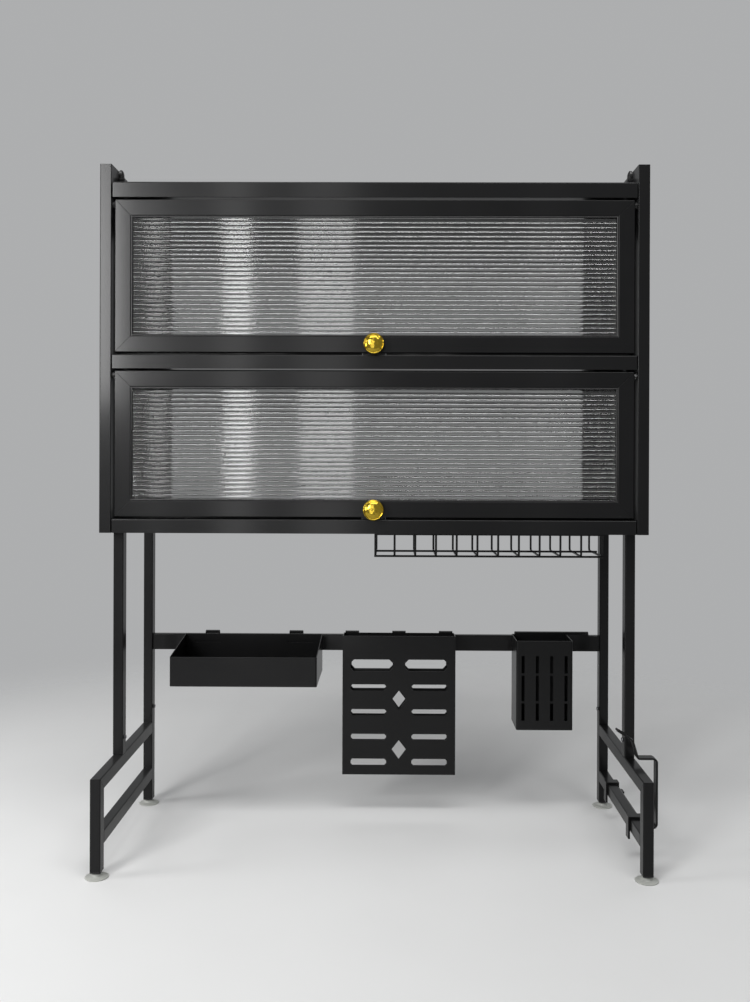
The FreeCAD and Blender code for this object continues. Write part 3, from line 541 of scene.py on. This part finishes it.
tubes = [f"{part}_{side}" for side in ("left", "right") for part in (
    "base_front_leg", "base_rear_leg", "base_top_bar", "base_lower_bar",
    "front_post", "rear_post",
)]
sheets = ["side_panel_left", "side_panel_right", "roof_panel", "middle_shelf", "bottom_shelf"]
door_members = [f"{door}_door_{part}" for door in ("upper", "lower") for part in (
    "bottom_rail", "top_rail", "left_stile", "right_stile",
)]
rail_and_hung = ["utensil_tray", "board_holder", "cutlery_cage", "side_rack", "accessory_rail"]
small = [
    "post_caps", "leg_plugs", "hinge_bushes", "lower_magnet_catch", "upper_magnet_catch",
    "upper_door_corner_keys", "lower_door_corner_keys",
    "upper_door_strike_plate", "lower_door_strike_plate",
]
for names, width in (
    (tubes, 0.45 * mm), (sheets, 0.28 * mm), (door_members, 0.6 * mm),
    (rail_and_hung, 0.3 * mm), (small, 0.35 * mm),
):
    for node in names:
        eased(node, width)
    print("eased", len(names), "nodes by", width / mm, "mm")

# %% [markdown]
# ## Fluted windows
#
# Each window is a clear sheet with round ribs on its front face and a flat back, slid
# into the grooves of the door frame. One rib is shaped from a strip, arrayed up the
# window, and given its thickness by pulling the whole front back to a flat plane.

# %% Fluted windows
rib_pitch, rib_rise, rib_steps = 7.07 * mm, 1.5 * mm, 14
hair = 0.03 * mm


def rib_heights():
    """How far each row of a rib stands out, on a round arc."""
    half = rib_pitch / 2
    radius = (rib_rise ** 2 + half ** 2) / (2 * rib_rise)
    rows = [half * (2 * step / rib_steps - 1) for step in range(1, rib_steps)]
    return [math.sqrt(radius ** 2 - row ** 2) - radius + rib_rise for row in rows]


def fluted_window(node, name):
    low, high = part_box(node)
    count = int((high.z - low.z) // rib_pitch)
    face_y = low.y + rib_rise
    margin = (high.z - low.z - count * rib_pitch) / 2
    start = low.z + margin
    deselect()
    bpy.ops.mesh.primitive_grid_add(x_subdivisions=1, y_subdivisions=rib_steps, size=1)
    window = bpy.context.object
    window.scale = (high.x - low.x, rib_pitch, 1)
    seated(window, ((low.x + high.x) / 2, face_y, start + rib_pitch / 2), (90, 0, 0))
    for step, rise in enumerate(rib_heights(), 1):
        row = start + step * rib_pitch / rib_steps
        pick(window, lambda corner: abs(corner.z - row) < hair)
        bpy.ops.transform.translate(value=(0, -rise, 0))
    modify(
        window, "ARRAY", count=count, use_relative_offset=False, use_constant_offset=True,
        constant_offset_displace=(0, 0, rib_pitch), use_merge_vertices=True,
        merge_threshold=0.01 * mm,
    )
    for edge, shift in ((start, -margin), (start + count * rib_pitch, margin)):
        pick(window, lambda corner: abs(corner.z - edge) < hair)
        bpy.ops.mesh.extrude_region_move(TRANSFORM_OT_translate={"value": (0, 0, shift)})
    bpy.ops.mesh.select_all(action="SELECT")
    back = {"value": (0, high.y - face_y, 0)}
    bpy.ops.mesh.extrude_region_move(TRANSFORM_OT_translate=back)
    bpy.ops.transform.resize(value=(1, 0, 1), center_override=(0, high.y, 0))
    return dressed(tidy(window, angle=60), name, node)


for door in ("upper", "lower"):
    window = fluted_window(f"{door}_door_fluted_panel", f"{door}_fluted_window")
    print(window.name, len(window.data.polygons), "faces")

# %% [markdown]
# ## Turned parts
#
# Knobs, foot pads and studs are turned on a lathe or moulded round. By hand one would
# start from a disc and pull it up ring by ring, scaling each ring to the profile. The
# helper below does just that from a list of radii and heights.

# %% Rings pulled up into a turned shape
def turned_shape(profile, count):
    """Turns a list of radii and heights in millimetres into a closed round shape."""
    profile = [(radius * mm, height * mm) for radius, height in profile]
    radius, height = profile[0]
    deselect()
    bpy.ops.mesh.primitive_circle_add(
        vertices=count, radius=radius, fill_type="NGON", location=(0, 0, height)
    )
    piece = written(bpy.context.object)
    editing(piece)
    for (radius, height), (next_radius, next_height) in zip(profile, profile[1:]):
        rise = {"value": (0, 0, next_height - height)}
        bpy.ops.mesh.extrude_region_move(TRANSFORM_OT_translate=rise)
        grow = next_radius / radius
        bpy.ops.transform.resize(value=(grow, grow, 1), center_override=(0, 0, next_height))
    return tidy(piece, angle=40)


# %% Knobs
knob = turned_shape([
    (6.6, 0.0), (7.0, 0.4), (7.0, 1.4), (5.9, 2.2), (5.5, 4.2), (5.9, 6.6), (7.4, 9.2),
    (10.2, 11.6), (13.6, 13.3), (15.4, 14.6), (15.95, 15.8), (16.0, 17.2), (15.9, 18.4),
    (15.5, 19.3), (14.8, 19.8), (14.1, 19.6), (13.7, 19.1), (13.2, 19.3), (11.6, 20.9),
    (9.4, 22.2), (6.6, 23.1), (3.6, 23.5), (1.2, 23.5),
], count=64)
seated(knob, turn=(90, 0, 0))
for door in ("upper", "lower"):
    low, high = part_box(f"{door}_door_knob")
    place = ((low.x + high.x) / 2, high.y, (low.z + high.z) / 2)
    dressed(copied(knob, f"{door}_knob", place), f"{door}_knob", f"{door}_door_knob")
print("knobs:", len(knob.data.polygons), "faces each")
bpy.data.objects.remove(knob)

# %% Feet
def loose_boxes(node):
    """The boxes of a node's separate solids."""
    merged(copied(frame["nodes"][node], "scratch"))
    bpy.ops.mesh.separate(type="LOOSE")
    bpy.ops.object.mode_set(mode="OBJECT")
    found = []
    for part in list(bpy.context.selected_objects):
        corners = [corner.co for corner in part.data.vertices]
        low = Vector([min(place[axis] for place in corners) for axis in range(3)])
        high = Vector([max(place[axis] for place in corners) for axis in range(3)])
        found.append((low, high))
        bpy.data.objects.remove(part)
    return sorted(found, key=lambda box: tuple(round(x, 4) for x in box[0]))


def repeated(model, node, name):
    """Stands a copy of one model on the foot of each of a node's solids, and joins them."""
    copies = []
    for low, high in loose_boxes(node):
        foot = ((low.x + high.x) / 2, (low.y + high.y) / 2, low.z)
        copies.append(copied(model, "copy", foot))
    bpy.data.objects.remove(model)
    print(name, len(copies))
    return dressed(joined(copies, name), name, node)


pad = turned_shape([
    (16.4, 0.0), (17.0, 0.25), (17.4, 0.9), (17.3, 1.6), (16.2, 2.1), (12.5, 2.6),
    (9.4, 3.1), (8.3, 4.0), (7.7, 5.4), (7.3, 6.2), (6.6, 6.5),
], count=56)
repeated(pad, "foot_pads", "foot_pads_moulded")
stud = turned_shape([(3.6, 0.0), (3.9, 0.3), (3.9, 2.2), (3.6, 2.5)], count=32)
repeated(stud, "foot_studs", "foot_studs_turned")

# %% [markdown]
# ## Glass rack
#
# The rack below the cabinet is bent from round wire and spot welded. A curve with a
# round bevel is wire by nature, so each wire is one curve with rounded corners, and all
# are turned to one mesh in the end.

# %% Round wire
bend_steps = 6


def bent(points, bend):
    """The points of a path whose corners are rounded by a bend radius."""
    path = [Vector(points[0])]
    for before, corner, after in zip(points, points[1:], points[2:]):
        corner, before, after = Vector(corner), Vector(before), Vector(after)
        start = corner + (before - corner).normalized() * bend
        end = corner + (after - corner).normalized() * bend
        for step in range(bend_steps + 1):
            t = step / bend_steps
            path.append(start * (1 - t) ** 2 + corner * 2 * t * (1 - t) + end * t ** 2)
    return path + [Vector(points[-1])]


def wire_run(points, radius, bend=0.0):
    """A round wire through points, as a curve made a mesh."""
    path = bent(points, bend)
    data = bpy.data.curves.new("wire", "CURVE")
    data.dimensions = "3D"
    data.bevel_depth, data.bevel_resolution, data.use_fill_caps = radius, 3, True
    spline = data.splines.new("POLY")
    spline.points.add(len(path) - 1)
    for point, place in zip(spline.points, path):
        point.co = (*place, 1)
    wire = bpy.data.objects.new("wire", data)
    bpy.context.scene.collection.objects.link(wire)
    only(wire)
    bpy.ops.object.convert(target="MESH")
    return bpy.context.object


# %% [markdown]
# The rack's bars all have one shape: down at the front, back along the floor of the
# rack, and up again. The first gap is wide and the others are even. Long wires tie the
# bars along their tops and floor, and small tabs carry the screws. Welded wires sink
# into each other a little.

# %% Glass rack
wire_radius, bend_radius, weld_sink = 1.7 * mm, 6 * mm, 0.2 * mm
rack_bars, rack_drop, first_gap = 12, 34.3 * mm, 30.4 * mm
tab_sheet, tab_round, inner_wire = 1.5 * mm, 0.4 * mm, 48 * mm

low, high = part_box("glass_rack")
front, back = low.y + wire_radius, high.y - wire_radius
left, right = low.x + wire_radius, high.x - wire_radius
top = high.z - tab_sheet - wire_radius
floor = top - rack_drop
step = (right - left - first_gap) / (rack_bars - 2)
wires = []
for x in [left] + [left + first_gap + k * step for k in range(rack_bars - 1)]:
    bar = [(x, front, top), (x, front, floor), (x, back, floor), (x, back, top)]
    wires.append(wire_run(bar, wire_radius, bend_radius))
beside = 2 * wire_radius - weld_sink
for y, z in (
    (front, top), (back, top), (front - beside, floor), (front + inner_wire, floor + beside),
):
    wires.append(wire_run([(low.x, y, z), (high.x, y, z)], wire_radius))
for x in (left, right):
    wires.append(wire_run([(x, front, top), (x, back, top)], wire_radius))
for tab_low, tab_high in loose_boxes("glass_rack"):
    if tab_high.z > high.z - tab_sheet / 2:
        deselect()
        middle, size = (tab_low + tab_high) / 2, tab_high - tab_low
        bpy.ops.mesh.primitive_cube_add(size=1, location=middle, scale=size)
        tab = written(bpy.context.object)
        wires.append(modify(tab, "BEVEL", width=tab_round, segments=2))
rack = tidy(joined(wires, "glass_rack_wires"), angle=50)
dressed(rack, "glass_rack_wires", "glass_rack")
print("glass rack:", len(rack.data.polygons), "faces")

# %% [markdown]
# ## Window beads
#
# In the picture a dark line runs round each window, and its right and top sides catch a
# thin bright light, as a glossy round bead does. A push-in bead between sheet and frame
# gives exactly that, so four straight lengths are laid in front of the ribs.

# %% Window beads
bead_radius, bead_back, bead_sink = 1.4 * mm, 0.5 * mm, 0.2 * mm


def window_bead(door):
    name = f"{door}_window_bead"
    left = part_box(f"{door}_door_left_stile")[1].x
    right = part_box(f"{door}_door_right_stile")[0].x
    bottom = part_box(f"{door}_door_bottom_rail")[1].z
    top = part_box(f"{door}_door_top_rail")[0].z
    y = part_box(f"{door}_door_fluted_panel")[0].y + bead_back - bead_radius
    inset = bead_radius - bead_sink
    runs = [[(x, y, bottom), (x, y, top)] for x in (left + inset, right - inset)]
    runs += [[(left, y, z), (right, y, z)] for z in (bottom + inset, top - inset)]
    bead = tidy(joined([wire_run(run, bead_radius) for run in runs], name), angle=50)
    return dressed(bead, name, slot="black_plastic", body=f"{door}_door")


for door in ("upper", "lower"):
    print("bead round the", door, "window:", len(window_bead(door).data.polygons), "faces")

# %% [markdown]
# ## Door stops
#
# No light comes through under the closed doors in the picture, so something stands
# behind their lower edge. On cabinets like this it is a small folded lip, spot welded to
# the shelf on each side of the catch. A narrow strip is drawn flat, its front edge is
# pulled up, and the sheet is then given its thickness.

# %% Door stops
lip_high, lip_foot, lip_sheet = 9 * mm, 7 * mm, 0.8 * mm
lip_behind, lip_inset, lip_play = 1.7 * mm, 5 * mm, 0.5 * mm


def door_stop(left, right, front, floor):
    deselect()
    bpy.ops.mesh.primitive_plane_add(size=1)
    stop = bpy.context.object
    stop.scale = (right - left, lip_foot, 1)
    seated(stop, ((left + right) / 2, front + lip_foot / 2, floor + lip_sheet / 2))
    pick(stop, lambda corner: corner.y < front + lip_foot / 4)
    pull = {"value": (0, 0, lip_high - lip_sheet)}
    bpy.ops.mesh.extrude_region_move(TRANSFORM_OT_translate=pull)
    modify(stop, "SOLIDIFY", thickness=lip_sheet, offset=0)
    modify(stop, "BEVEL", width=lip_sheet / 4, segments=2, limit_method="ANGLE")
    return tidy(stop, angle=35)


stops = []
for door in ("upper", "lower"):
    low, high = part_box(f"{door}_door_bottom_rail")
    catch_low, catch_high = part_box(f"{door}_magnet_catch")
    for left, right in (
        (low.x + lip_inset, catch_low.x - lip_play),
        (catch_high.x + lip_play, high.x - lip_inset),
    ):
        stops.append(door_stop(left, right, high.y + lip_behind, catch_low.z))
dressed(joined(stops, "door_stop_lips"), "door_stop_lips", slot="black_paint", body="frame")
print("door stops:", len(stops))

# %% [markdown]
# ## Screws
#
# The sheets are held by small pan-head screws. The head is turned as a low dome, and a
# cross recess is sunk into it by cutting two tapered bars away. One screw is made for
# each node, and a copy goes to every place where the frame has one.

# %% One screw
head, head_rise, shank = 3.5, 2.4, 1.9
cross_long, cross_wide, cross_taper = 3.8, 0.8, 0.6


def pan_screw(length):
    """A pan-head screw with its head's top at the origin, pointing up, sizes in mm."""
    screw = turned_shape([
        (1.0, -length), (shank, 0.9 - length), (shank, -head_rise),
        (head - 0.1, -head_rise), (head, 0.3 - head_rise), (head - 0.05, -1.1),
        (head - 0.5, -0.5), (head * 0.66, -0.16), (head * 0.3, 0.0),
    ], count=32)
    for wide, deep in ((cross_long, cross_wide), (cross_wide, cross_long)):
        deselect()
        size = (wide * mm, deep * mm, head_rise * mm)
        bpy.ops.mesh.primitive_cube_add(size=1, scale=size)
        bar = written(bpy.context.object)
        pick(bar, lambda corner: corner.z < 0)
        bpy.ops.transform.resize(value=(cross_taper, cross_taper, 1))
        modify(screw, "BOOLEAN", object=bar, operation="DIFFERENCE", solver="EXACT")
        bpy.data.objects.remove(bar)
    return tidy(screw, angle=40)


# %% Screws in their places
def screws(node, outward):
    """Sets one screw in each of a node's places, its head to the side that outward gives."""
    model, made = None, []
    for low, high in loose_boxes(node):
        middle = (low + high) / 2
        side = Vector(outward(middle))
        length = abs((high - low).dot(side))
        model = model or pan_screw(length / mm)
        turn = Vector((0, 0, 1)).rotation_difference(side).to_matrix().to_4x4()
        made.append(copied(model, "screw", middle + side * length / 2, turn))
    bpy.data.objects.remove(model)
    return dressed(joined(made, node + "_turned"), node + "_turned", node)


def inwards(middle):
    return (1 if middle.x < 0 else -1, 0, 0)


for node, outward in (
    ("shelf_screws", inwards), ("post_screws", inwards),
    ("side_panel_screws", lambda middle: (0, 1, 0)),
    ("glass_rack_screws", lambda middle: (0, 0, -1)),
):
    print(node, len(screws(node, outward).data.polygons), "faces")
